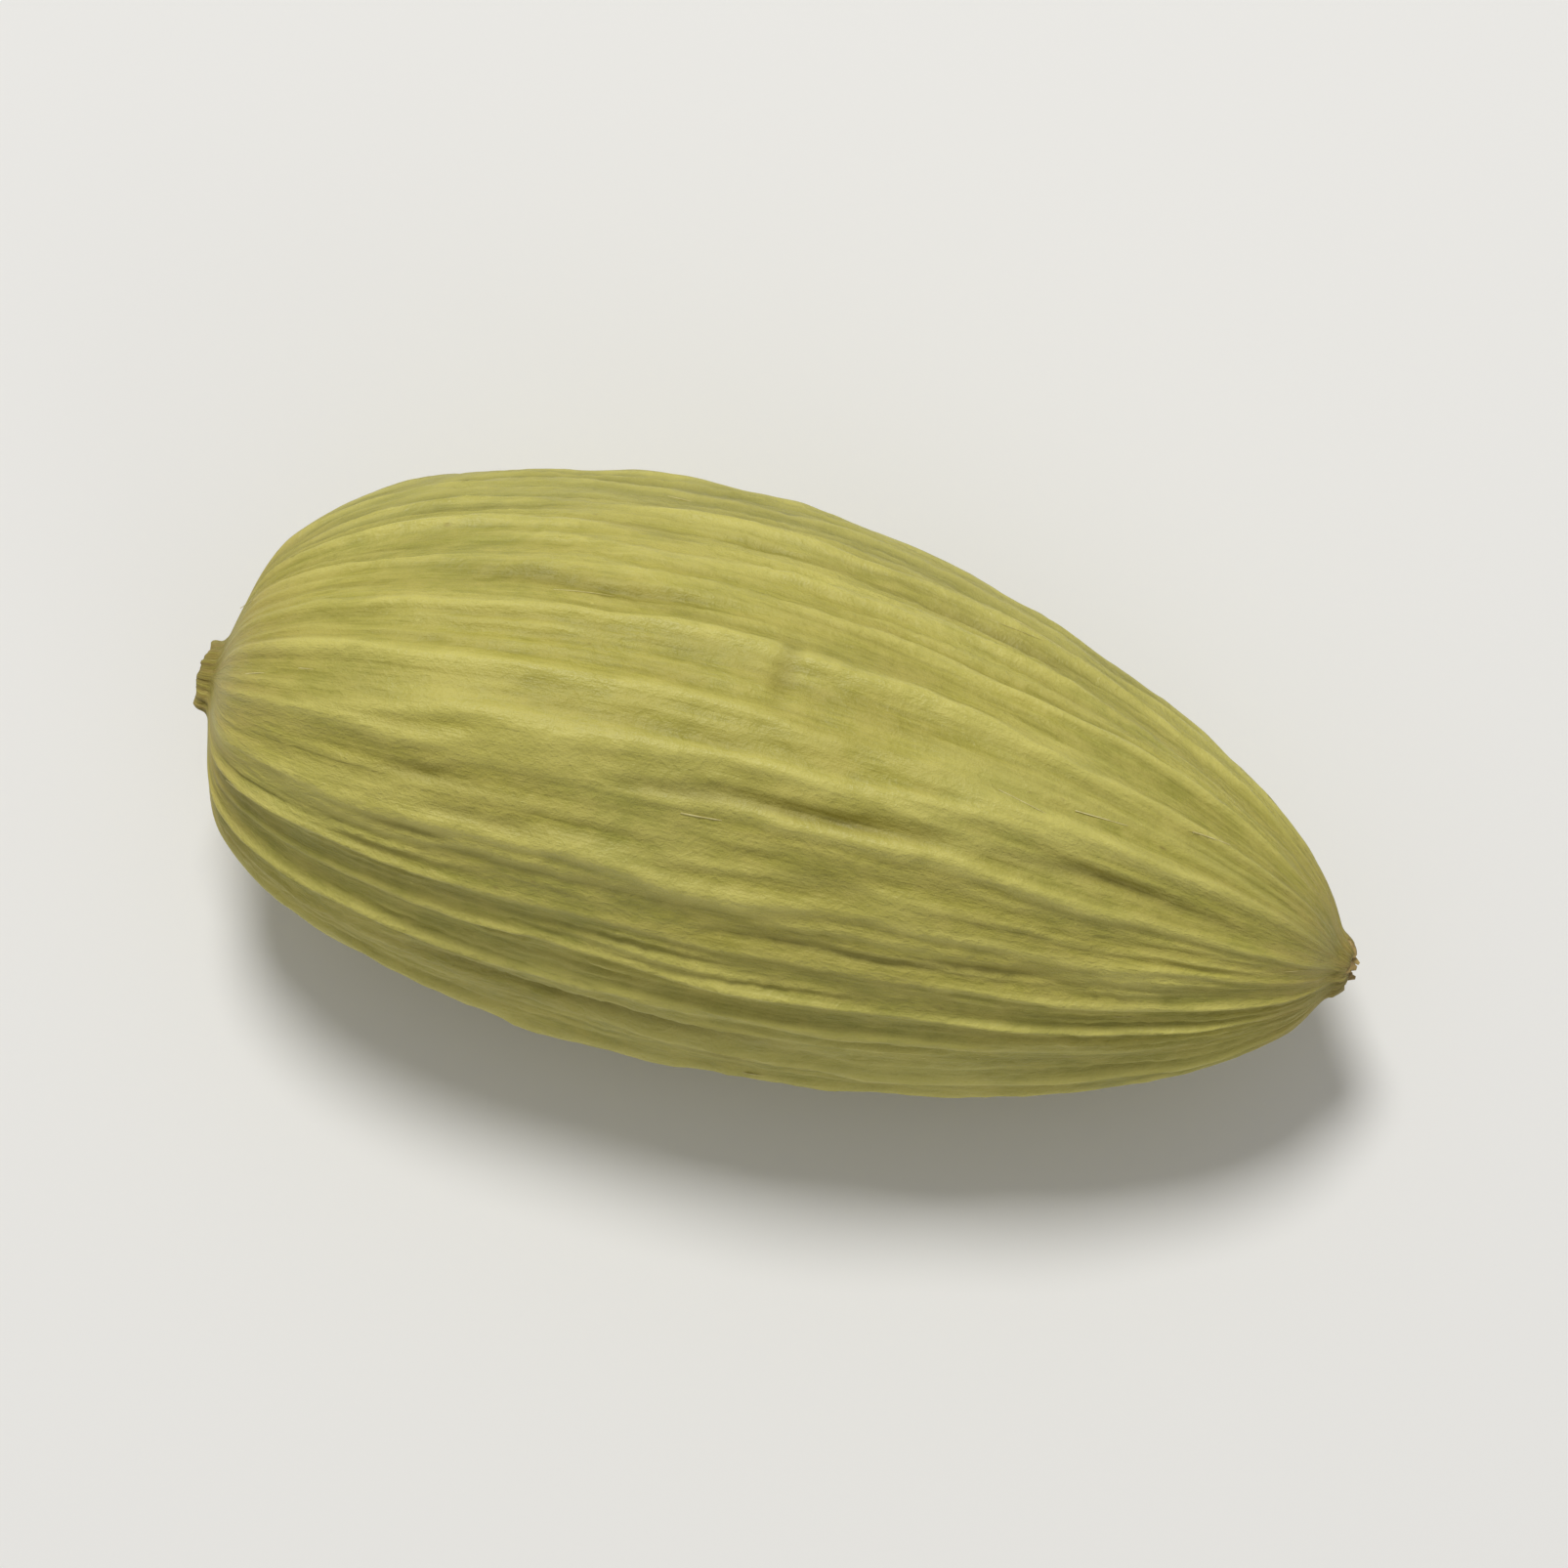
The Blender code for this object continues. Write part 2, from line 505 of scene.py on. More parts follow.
@dataclass
class Husk:
    """The husk with its stalk and beak: one closed skin, shaped by a formula in Geometry Nodes.

    Lengths are in metres and angles in radians. A share is of the way from stalk to beak.
    """

    # Necks at both ends
    stalk_length: float = 0.10 * MM
    stalk_radius: float = 0.44 * MM
    stalk_hollow: float = 0.07 * MM
    stalk_rounding: float = 0.10 * MM
    beak_length: float = 0.06 * MM
    beak_radius: float = 0.42 * MM
    beak_hollow: float = 0.06 * MM
    beak_rounding: float = 0.24 * MM

    # Outline and section
    bluntness: float = 0.41
    taper: float = 0.60
    shoulder: float = 0.20 * MM
    shoulder_flow: float = 1.5
    neck_flow: float = 2.2
    lobes: int = 3
    lobe_depth: float = 0.072
    keel_height: float = 0.034
    keel_sharpness: float = 12.0
    keel_at_stalk: float = math.radians(9.0)
    keel_at_beak: float = math.radians(-4.0)
    bow: float = 0.46 * MM

    # Main veins: a narrow rib on a broad swelling
    veins: int = 24
    vein_height: float = 0.15 * MM
    rib_share: float = 0.70
    rib_sharpness: float = 6.0
    swelling_share: float = 0.34
    vein_sharpness: float = 1.8
    vein_usual: float = 0.72
    vein_wander: float = 0.12
    faded_vein: float = 0.3
    full_vein_girth: float = 0.50

    # Thin veins between them, and slanting ones
    thin_veins: int = 72
    thin_vein_height: float = 0.048 * MM
    thin_vein_sharpness: float = 2.5
    thin_vein_wander: float = 1.5
    thin_vein_phase: float = 1.0
    side_vein_height: float = 0.065 * MM
    side_vein_sharpness: float = 4.5

    # Skin
    dent_depth: float = 0.13 * MM
    wrinkle_height: float = 0.030 * MM
    cross_sharpness: float = 3.0
    slanting_sharpness: float = 3.4
    slanting_share: float = 0.8
    least_slanting: float = 0.3
    vein_clearance: float = 1.2
    stria_height: float = 0.018 * MM

    # Ridges and creases
    face_waver: float = 0.20
    ridge_fade: float = 0.14
    worn_ridge: float = 0.3
    worn_crease: float = 0.5
    crease_waver: float = 0.7
    lip_distance: float = 2.0
    lip_fall: float = 0.7

    # Necks: pleats, and a torn edge
    pleats: int = 12
    pleat_phase: float = 0.3
    pleat_share: float = 0.4
    neck_roughness: float = 3.4
    pucker: float = 0.05 * MM
    torn: float = 0.22 * MM
    torn_reach: float = 0.25 * MM
    torn_grain: float = 0.25 * MM
    torn_octaves: float = 3.0

    # How it lies
    flat_depth: float = 0.17 * MM
    floor_rounding: float = 0.05 * MM
    nose_down: float = math.radians(2.4)

    # Marks for the finish
    ridge_tint: float = 0.8
    thin_vein_tint: float = 0.7
    # crease depth at which the finish lays its full painted shade
    crease_shade_depth: float = 0.12 * MM

    # Points
    columns: int = 400
    rows: int = 248
    crowding: float = 0.62
    cap_share: float = 0.026
    seed: float = 4.0

    def build(self, material: bpy.types.Material) -> bpy.types.Object:
        """Make the husk as a plain mesh in place of the CAD node.

        Args:
            material: the husk's finish.

        Returns:
            The finished object.
        """
        low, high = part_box(NODE)
        sizes = {
            "Length": high.x - low.x,
            "Greatest Radius": (high.y - low.y) / 2,
            "Vein Height": self.vein_height,
            "Fine Relief": 1.0,
            "Lowest Corner": (low.x, low.y, low.z - self.flat_depth),
            "Highest Corner": tuple(high),
        }
        form = HuskForm(self)
        return form.grow(form.shape(), material, sizes)


class HuskForm(Form):
    """The husk's formula, written step by step into a Geometry Nodes tree."""

    def __init__(self, husk: Husk) -> None:
        """Start the tree, with its inputs.

        Args:
            husk: the sizes.
        """
        lengths = dict.fromkeys(("Length", "Greatest Radius", "Vein Height", "Fine Relief"), "Float")
        super().__init__("husk", lengths | dict.fromkeys(("Lowest Corner", "Highest Corner"), "Vector"))
        self.husk = husk
        self.length = self.given("Length")
        self.greatest = self.given("Greatest Radius")
        self.fine = self.given("Fine Relief")

    def grain(self, pattern: Pattern) -> Term:
        """Noise of about 0 to 1 that follows the husk's own directions.

        Args:
            pattern: how fine it is, its octaves and its seed.

        Returns:
            The noise value.
        """
        sideways, upwards = self.around_y * pattern.around, self.around_z * pattern.around
        place = self.join(self.share * pattern.along, sideways, upwards)
        node = self.add(
            "ShaderNodeTexNoise",
            {"noise_dimensions": "4D"},
            Vector=place,
            W=self.husk.seed + pattern.seed,
            Scale=1.0,
            Detail=pattern.octaves,
        )
        return self.term(node)

    def patches(self, pattern: Pattern) -> Term:
        """Noise turned into soft patches of 0 and 1."""
        return self.grain(pattern).step(pattern.low, pattern.high)

    def uneven(self, pattern: Pattern) -> Term:
        """Noise less its middle value, from about -0.5 to 0.5."""
        return self.grain(pattern) - 0.5

    def spread(self) -> None:
        """Turn the points of a ball into angles round the pod and distances along it."""
        husk = self.husk
        east, north, up = self.split(self.here())
        self.turn = north.math("ARCTAN2", east)
        self.polar = 1.0 - up.least(1.0).most(-1.0).math("ARCCOSINE") / math.pi
        body = ((self.polar - husk.cap_share) / (1.0 - 2 * husk.cap_share)).unit()
        crowded = 0.5 - (body * math.pi).cos() * 0.5
        self.x = self.length * (crowded * husk.crowding + body * (1.0 - husk.crowding))
        self.husk_length = self.length - (husk.stalk_length + husk.beak_length)
        self.share = ((self.x - husk.stalk_length) / self.husk_length).unit()
        self.near_beak = self.share.math("GREATER_THAN", 0.5)
        self.angle = self.turn + ripple(VEIN_SPACING, self.turn, self.share)
        self.around_y = self.angle.cos()
        self.around_z = self.angle.sin()

    def outline(self) -> None:
        """Girth along the pod: blunt at the stalk, tapered to the beak, with a neck at each end."""
        husk = self.husk
        widest = husk.bluntness / (husk.bluntness + husk.taper)
        peak = widest**husk.bluntness * (1.0 - widest) ** husk.taper
        from_end = self.share.least(1.0 - self.share) * self.husk_length / husk.shoulder
        grown = 1.0 - (from_end**husk.shoulder_flow * -1.0).math("EXPONENT")
        self.girth = self.share**husk.bluntness * (1.0 - self.share) ** husk.taper / peak * grown
        stalk = (ripple(STALK_OUTLINE, self.angle, self.share) + 1.0) * husk.stalk_radius
        beak = (ripple(BEAK_OUTLINE, self.angle, self.share) + 1.0) * husk.beak_radius
        neck = self.near_beak.blend(stalk, beak) / self.greatest
        self.radius = (self.girth**husk.neck_flow + neck**husk.neck_flow) ** (1.0 / husk.neck_flow)
        self.of_husk = (self.girth / self.radius) ** 2.0
        self.full = self.of_husk * (self.girth / husk.full_vein_girth).least(1.0)

    def section(self) -> None:
        """Three lobes with a keel each, one of them uppermost, and an uneven girth."""
        husk = self.husk
        keel = self.share * (husk.keel_at_beak - husk.keel_at_stalk) + (math.pi / 2 + husk.keel_at_stalk)
        from_keel = self.angle - keel
        self.from_keel = from_keel - (from_keel / math.tau).math("ROUND") * math.tau
        wave = (self.from_keel * husk.lobes).cos()
        lobes = wave * husk.lobe_depth + (wave * 0.5 + 0.5) ** husk.keel_sharpness * husk.keel_height
        lobes = lobes + ripple(GIRTH, self.angle, self.share)
        self.radius = self.radius * self.greatest * (lobes * self.of_husk + 1.0)

    def raise_veins(self) -> None:
        """Main veins that wander and fade in places, thin ones beside them, and slanting side veins."""
        husk = self.husk
        wander = self.uneven(VEIN_WANDER) * husk.vein_wander
        swelling = ((self.turn + wander) * husk.veins).hump()
        strength = ripple(VEIN_STRENGTH, self.turn, self.share) + husk.vein_usual
        fading = self.patches(VEIN_FADING).above(husk.faded_vein)
        self.vein = swelling**husk.rib_sharpness * strength * fading
        thin_turn = (self.turn + wander * husk.thin_vein_wander) * husk.thin_veins + husk.thin_vein_phase
        self.thin = thin_turn.hump() ** husk.thin_vein_sharpness * self.patches(THIN_VEIN_PATCHES)
        slanting = self.grain(SIDE_VEINS).lines(husk.side_vein_sharpness)
        self.side_vein = slanting * self.patches(SIDE_VEIN_PATCHES)
        height = self.given("Vein Height")
        swelling_part = swelling**husk.vein_sharpness * strength * husk.swelling_share
        self.relief = (self.vein * husk.rib_share + swelling_part) * height
        self.relief = self.relief + self.thin * husk.thin_vein_height * self.fine
        self.relief = self.relief + self.side_vein * husk.side_vein_height * self.fine

    def wrinkle_skin(self) -> None:
        """Broad dents, papery wrinkles across the hollows between veins, and fine lines along them."""
        husk = self.husk
        patches = self.patches(WRINKLE_PATCHES)
        between = (1.0 - self.vein * husk.vein_clearance).unit()
        across = self.grain(CROSS_WRINKLES).lines(husk.cross_sharpness) * between * patches
        slanting = self.grain(SLANTING_WRINKLES).lines(husk.slanting_sharpness)
        slanting = slanting * (1.0 - patches * (1.0 - husk.least_slanting))
        wrinkles = across + slanting * husk.slanting_share
        self.relief = self.relief + self.uneven(DENTS) * (2.0 * husk.dent_depth) * self.fine
        self.relief = self.relief + wrinkles * husk.wrinkle_height * self.fine
        self.relief = self.relief + self.uneven(FINE_LINES) * (2.0 * husk.stria_height) * self.fine

    def raise_ridges(self) -> None:
        """Sharper lines where two faces meet, worn down in places."""
        husk = self.husk
        self.waver = self.uneven(FACE_WAVER) * husk.face_waver
        worn = self.patches(RIDGE_WEAR).above(husk.worn_ridge)
        self.ridge = self.turn * 0.0
        for line in RIDGES:
            across = (self.from_keel - line.offset + self.waver) / line.width
            fading = 1.0 - self.share.step(line.end - husk.ridge_fade, line.end)
            window = self.share.step(line.start, line.start + husk.ridge_fade) * fading
            standing = across.bell() * window * worn
            self.ridge = self.ridge + standing
            self.relief = self.relief + standing * line.height * self.fine

    def sink_creases(self) -> None:
        """Creases of uneven depth, each with a lip beside it."""
        husk = self.husk
        self.sunk = self.turn * 0.0
        worn = self.patches(CREASE_WEAR).above(husk.worn_crease)
        for crease in CREASES:
            along = self.share - crease.middle
            centred = along / crease.reach
            bent = along * crease.slant + crease.offset - self.waver * husk.crease_waver
            across = (self.from_keel - bent) / crease.width
            window = (1.0 - centred * centred).most(0.0) * worn
            floor = across.bell() * window * crease.depth
            self.sunk = self.sunk + floor
            beside = across + husk.lip_distance
            lip = (beside * beside * -husk.lip_fall).math("EXPONENT") * window * (crease.depth * crease.lip)
            self.relief = self.relief + lip - floor
        self.radius = self.radius + self.relief * self.full

    def from_end(self) -> Term:
        """Distance along the pod from the nearer end."""
        return self.x.least(self.length - self.x)

    def pucker_necks(self) -> None:
        """Pleats round both necks, and rounded rims."""
        husk = self.husk
        pleats = ((self.turn + husk.pleat_phase) * husk.pleats).cos() * husk.pleat_share
        pucker = pleats + self.uneven(NECK_GRAIN) * husk.neck_roughness
        self.radius = self.radius + pucker * (1.0 - self.full) * husk.pucker * self.fine
        rounding = self.near_beak.blend(husk.stalk_rounding, husk.beak_rounding)
        near_end = (1.0 - self.from_end() / rounding).most(0.0)
        self.radius = self.radius - (1.0 - (1.0 - near_end * near_end).math("SQRT")) * rounding

    def hollow_ends(self) -> None:
        """Draw the skin in to a sunken middle at both ends."""
        husk = self.husk
        stalk_cap = (self.polar / husk.cap_share).unit()
        beak_cap = ((1.0 - self.polar) / husk.cap_share).unit()
        self.radius = self.radius * stalk_cap * beak_cap
        self.within = 1.0 - stalk_cap * beak_cap
        self.x = self.x + (1.0 - stalk_cap * stalk_cap) * husk.stalk_hollow
        self.x = self.x - (1.0 - beak_cap * beak_cap) * husk.beak_hollow

    def tear_ends(self) -> None:
        """Make both ends ragged, as torn tissue is."""
        husk = self.husk
        edge = self.join(0.0, self.radius * self.around_y, self.radius * self.around_z)
        rough = self.add(
            "ShaderNodeTexNoise", Vector=edge, Scale=1.0 / husk.torn_grain, Detail=husk.torn_octaves
        )
        near = (1.0 - self.from_end() / husk.torn_reach).unit()
        self.x = self.x + (self.term(rough) - 0.5) * near * husk.torn * self.fine

    def marked(self) -> bpy.types.NodeSocket:
        """Make the ball, and store on it what the finish and the fibres read.

        Returns:
            The ball with its marks.
        """
        husk = self.husk
        crest = self.vein + self.ridge * husk.ridge_tint
        thin_crest = self.side_vein + self.thin * husk.thin_vein_tint
        stored = (
            (Mark.FLOW, "FLOAT_VECTOR", self.join(self.share, self.around_y, self.around_z)),
            (Mark.CREST, "FLOAT", (crest * self.full).unit()),
            (Mark.THIN_CREST, "FLOAT", (thin_crest * self.full).unit()),
            # crease depth, which the finish turns into painted shade
            (Mark.SUNK, "FLOAT", (self.sunk / husk.crease_shade_depth * self.full).unit()),
            (Mark.TURNED, "FLOAT", self.from_keel),
            (Mark.WITHIN, "FLOAT", self.within),
        )
        ball = self.add("GeometryNodeMeshUVSphere", Segments=husk.columns, Rings=husk.rows, Radius=1.0)
        last = ball.outputs["Mesh"]
        for mark, kind, value in stored:
            options = {"data_type": kind, "domain": "POINT"}
            store = self.add(
                "GeometryNodeStoreNamedAttribute", options, Geometry=last, Name=mark.value, Value=value
            )
            last = store.outputs["Geometry"]
        return last

    def move(self, shape: bpy.types.NodeSocket, place: Term) -> bpy.types.NodeSocket:
        """Set the points of a shape to a place."""
        return self.add("GeometryNodeSetPosition", Geometry=shape, Position=place).outputs["Geometry"]

    def lay_down(self, shape: bpy.types.NodeSocket) -> bpy.types.NodeSocket:
        """Fit the shape to the pod's box, and press its underside flat on the surface.

        Args:
            shape: the shape before it is laid down.

        Returns:
            The shape as it lies.
        """
        here = self.here()
        extent = self.add(
            "GeometryNodeAttributeStatistic", {"data_type": "FLOAT_VECTOR"}, Geometry=shape, Attribute=here
        )
        low, high = self.split(self.term(extent, "Min")), self.split(self.term(extent, "Max"))
        lowest, highest = self.split(self.given("Lowest Corner")), self.split(self.given("Highest Corner"))
        fitted = []
        for axis, place in enumerate(self.split(here)):
            share = (place - low[axis]) / (high[axis] - low[axis])
            fitted.append(lowest[axis] + share * (highest[axis] - lowest[axis]))
        fitted[2] = fitted[2].math("SMOOTH_MAX", 0.0, self.husk.floor_rounding)
        return self.move(shape, self.join(*fitted))

    def shape(self) -> bpy.types.NodeSocket:
        """Write the whole formula.

        Returns:
            The husk as it lies.
        """
        self.spread()
        self.outline()
        self.section()
        self.raise_veins()
        self.wrinkle_skin()
        self.raise_ridges()
        self.sink_creases()
        self.pucker_necks()
        self.hollow_ends()
        self.tear_ends()
        y = self.radius * self.around_y + (self.share * math.pi).sin() * self.husk.bow
        z = self.radius * self.around_z - self.x * math.tan(self.husk.nose_down)
        placed = self.move(self.marked(), self.join(self.x, y, z))
        return self.smooth(self.lay_down(placed))


# Shader patterns: where noise of 0 to 1 starts to show, and where it shows in full
STREAKS = (0.36, 0.66)
BROAD_PATCHES = (0.36, 0.64)
SMALL_PATCHES = (0.34, 0.68)
SPOT_EDGE = (0.60, 1.0)
PALE_VEINS = (0.05, 0.75)
BROWN_HOLLOWS = (0.10, 0.70)

# Fibres: how much finer the fine ones are, along and round the pod, and both kinds' shares of the height
FINER_ALONG = 2.0
FINER_AROUND = 2.4
FINE_SHARE = 0.45
BROAD_SHARE = 0.55

# Paper: the scale and the strength of each of its three nets
PAPER_NETS = ((1.0, 0.5), (2.3, 0.3), (5.1, 0.2))
PAPER_SHARPNESS = 3.0

# Mottle: how much finer the small patches are than the broad ones, and how rough
SMALLER_ALONG = 6.0
SMALLER_AROUND = 5.0
SMALL_ROUGHNESS = 0.66

# Spots: how ragged their edges are, how that is made up for in their size, which share of the cells
# has none, and how strong they are
SPOT_RAGGEDNESS = 0.5
SPOT_ROUGHNESS = 0.7
SPOT_MARGIN = 0.25
SPOTLESS_CELLS = 0.86
SPOT_STRENGTH = 9.0

# Relief of a finish: how strongly the fine relief turns the light
BUMP_STRENGTH = 0.8


class Group(Tree):
    """A shader node group under construction, with a scale along the pod and one round it."""

    def __init__(self, name: str, inputs: dict[str, float], outputs: tuple[str, ...]) -> None:
        """Start the group.

        Args:
            name: the group's name.
            inputs: its number inputs, with their usual values, besides a vector named Place.
            outputs: its number outputs.
        """
        super().__init__(bpy.data.node_groups.new(name, "ShaderNodeTree"))
        self.tree.interface.new_socket("Place", in_out="INPUT", socket_type="NodeSocketVector")
        for title, usual in inputs.items():
            socket = self.tree.interface.new_socket(title, in_out="INPUT", socket_type="NodeSocketFloat")
            socket.default_value = usual
        for title in outputs:
            self.tree.interface.new_socket(title, in_out="OUTPUT", socket_type="NodeSocketFloat")
        self.inputs = self.add("NodeGroupInput")
        self.along = self.term(self.inputs, "Along")
        self.around = self.term(self.inputs, "Around")

    def stretched(self, along: Term, around: Term) -> Term:
        """Scale the group's place.

        Args:
            along: scale along the pod.
            around: scale round it.

        Returns:
            The scaled place.
        """
        return self.vectors("MULTIPLY", self.term(self.inputs, "Place"), self.join(along, around, around))

    def noise(self, place: Term, octaves: float, roughness: float = 0.5) -> Term:
        """Noise at a place that is already scaled.

        Args:
            place: the place.
            octaves: how many finer octaves it has.
            roughness: how strong they are.

        Returns:
            The noise value.
        """
        node = self.add("ShaderNodeTexNoise", Vector=place, Scale=1.0, Detail=octaves, Roughness=roughness)
        return self.term(node)

    def put_out(self, **values: Term) -> bpy.types.NodeTree:
        """Link values to the group's outputs.

        Args:
            values: the outputs by name.

        Returns:
            The finished group.
        """
        self.add("NodeGroupOutput", **values)
        return self.tree


class Grain:
    """The shader node groups that the finishes share, built once."""

    def __init__(self) -> None:
        """Build the groups."""
        self.fibres = self.make_fibres()
        self.mottle = self.make_mottle()
        self.specks = self.make_specks()
        self.paper = self.make_paper()

    @staticmethod
    def make_fibres() -> bpy.types.NodeTree:
        """Long fine fibres side by side.

        Returns:
            The group, with their height and their streaks.
        """
        group = Group("fibres", {"Along": 5.0, "Around": 60.0}, ("Height", "Streak"))
        closer = group.stretched(group.along * FINER_ALONG, group.around * FINER_AROUND)
        fine = group.noise(closer, octaves=2.0)
        broad = group.noise(group.stretched(group.along, group.around), octaves=2.0)
        return group.put_out(Height=fine * FINE_SHARE + broad * BROAD_SHARE, Streak=broad.step(*STREAKS))

    @staticmethod
    def make_paper() -> bpy.types.NodeTree:
        """A net of fine creases of three sizes, as in dry papery skin.

        Returns:
            The group, with their height.
        """
        group = Group("paper", {"Along": 60.0, "Around": 22.0}, ("Height",))
        height = group.along * 0.0
        for scale, strength in PAPER_NETS:
            place = group.stretched(group.along * scale, group.around * scale)
            height = height + group.noise(place, octaves=1.0).lines(PAPER_SHARPNESS) * strength
        return group.put_out(Height=height)

    @staticmethod
    def make_mottle() -> bpy.types.NodeTree:
        """Soft patches of two sizes.

        Returns:
            The group, with broad and small patches.
        """
        group = Group("mottle", {"Along": 4.0, "Around": 2.0}, ("Broad", "Small"))
        broad = group.noise(group.stretched(group.along, group.around), octaves=2.0)
        closer = group.stretched(group.along * SMALLER_ALONG, group.around * SMALLER_AROUND)
        small = group.noise(closer, octaves=4.0, roughness=SMALL_ROUGHNESS)
        return group.put_out(Broad=broad.step(*BROAD_PATCHES), Small=small.step(*SMALL_PATCHES))

    @staticmethod
    def make_specks() -> bpy.types.NodeTree:
        """Small scattered spots with ragged edges, in one cell out of seven.

        Returns:
            The group, with the spots.
        """
        group = Group("specks", {"Along": 60.0, "Around": 16.0, "Spot Size": 0.12}, ("Spot",))
        place = group.stretched(group.along, group.around)
        cells = group.add("ShaderNodeTexVoronoi", Vector=place, Scale=1.0)
        ragged = group.noise(place, octaves=2.0, roughness=SPOT_ROUGHNESS) * SPOT_RAGGEDNESS
        away = group.term(cells, "Distance") + ragged
        spot_size = group.term(group.inputs, "Spot Size") + SPOT_MARGIN
        inside = 1.0 - (away / spot_size).step(*SPOT_EDGE)
        apart = group.add("ShaderNodeSeparateColor", Color=group.term(cells, "Color"))
        chosen = (group.term(apart) - SPOTLESS_CELLS).most(0.0) * SPOT_STRENGTH
        return group.put_out(Spot=inside * chosen)


class Shade(Tree):
    """One material's node tree under construction."""

    def __init__(self, name: str) -> None:
        """Start a material with its shader.

        Args:
            name: the material's name.
        """
        self.material = bpy.data.materials.new(name)
        self.material.use_nodes = True
        super().__init__(self.material.node_tree)
        self.shader = self.tree.nodes["Principled BSDF"]

    def mark(self, mark: Mark, output: str = "Fac") -> Term:
        """A value that the husk's mesh carries."""
        return self.term(self.add("ShaderNodeAttribute", {"attribute_name": mark.value}), output)

    def use(self, group: bpy.types.NodeTree, place: Term, **values: float) -> dict[str, Term]:
        """Place a shared group.

        Args:
            group: the group.
            place: the coordinates that it works in.
            values: its other inputs, with underscores for spaces.

        Returns:
            Its outputs by name.
        """
        node = self.add("ShaderNodeGroup", {"node_tree": group}, Place=place, **values)
        return {output.name: Term(self.tree, output) for output in node.outputs}

    def mix(self, share: Term, under: Term | Colour, over: Colour) -> Term:
        """Lay one colour over another.

        Args:
            share: how much of the upper colour shows.
            under: the lower colour.
            over: the upper colour.

        Returns:
            The mixed colour.
        """
        node = self.add("ShaderNodeMix", {"data_type": "RGBA"})
        feed(self.tree, node.inputs[MIX_SHARE], share)
        feed(self.tree, node.inputs[MIX_UNDER], under)
        feed(self.tree, node.inputs[MIX_OVER], over)
        return self.term(node, MIX_RESULT)

    def finish(self, colour: Term, gloss: Term, height: Term, depth: float) -> bpy.types.Material:
        """Link the colour, the roughness and the fine relief to the shader.

        Args:
            colour: the base colour.
            gloss: the roughness.
            height: the fine relief, from 0 to 1.
            depth: how deep the fine relief is.

        Returns:
            The material.
        """
        bump = self.add("ShaderNodeBump", Strength=BUMP_STRENGTH, Distance=depth, Height=height)
        feed(self.tree, self.shader.inputs["Normal"], self.term(bump))
        feed(self.tree, self.shader.inputs["Base Color"], colour)
        feed(self.tree, self.shader.inputs["Roughness"], gloss.unit())
        return self.material


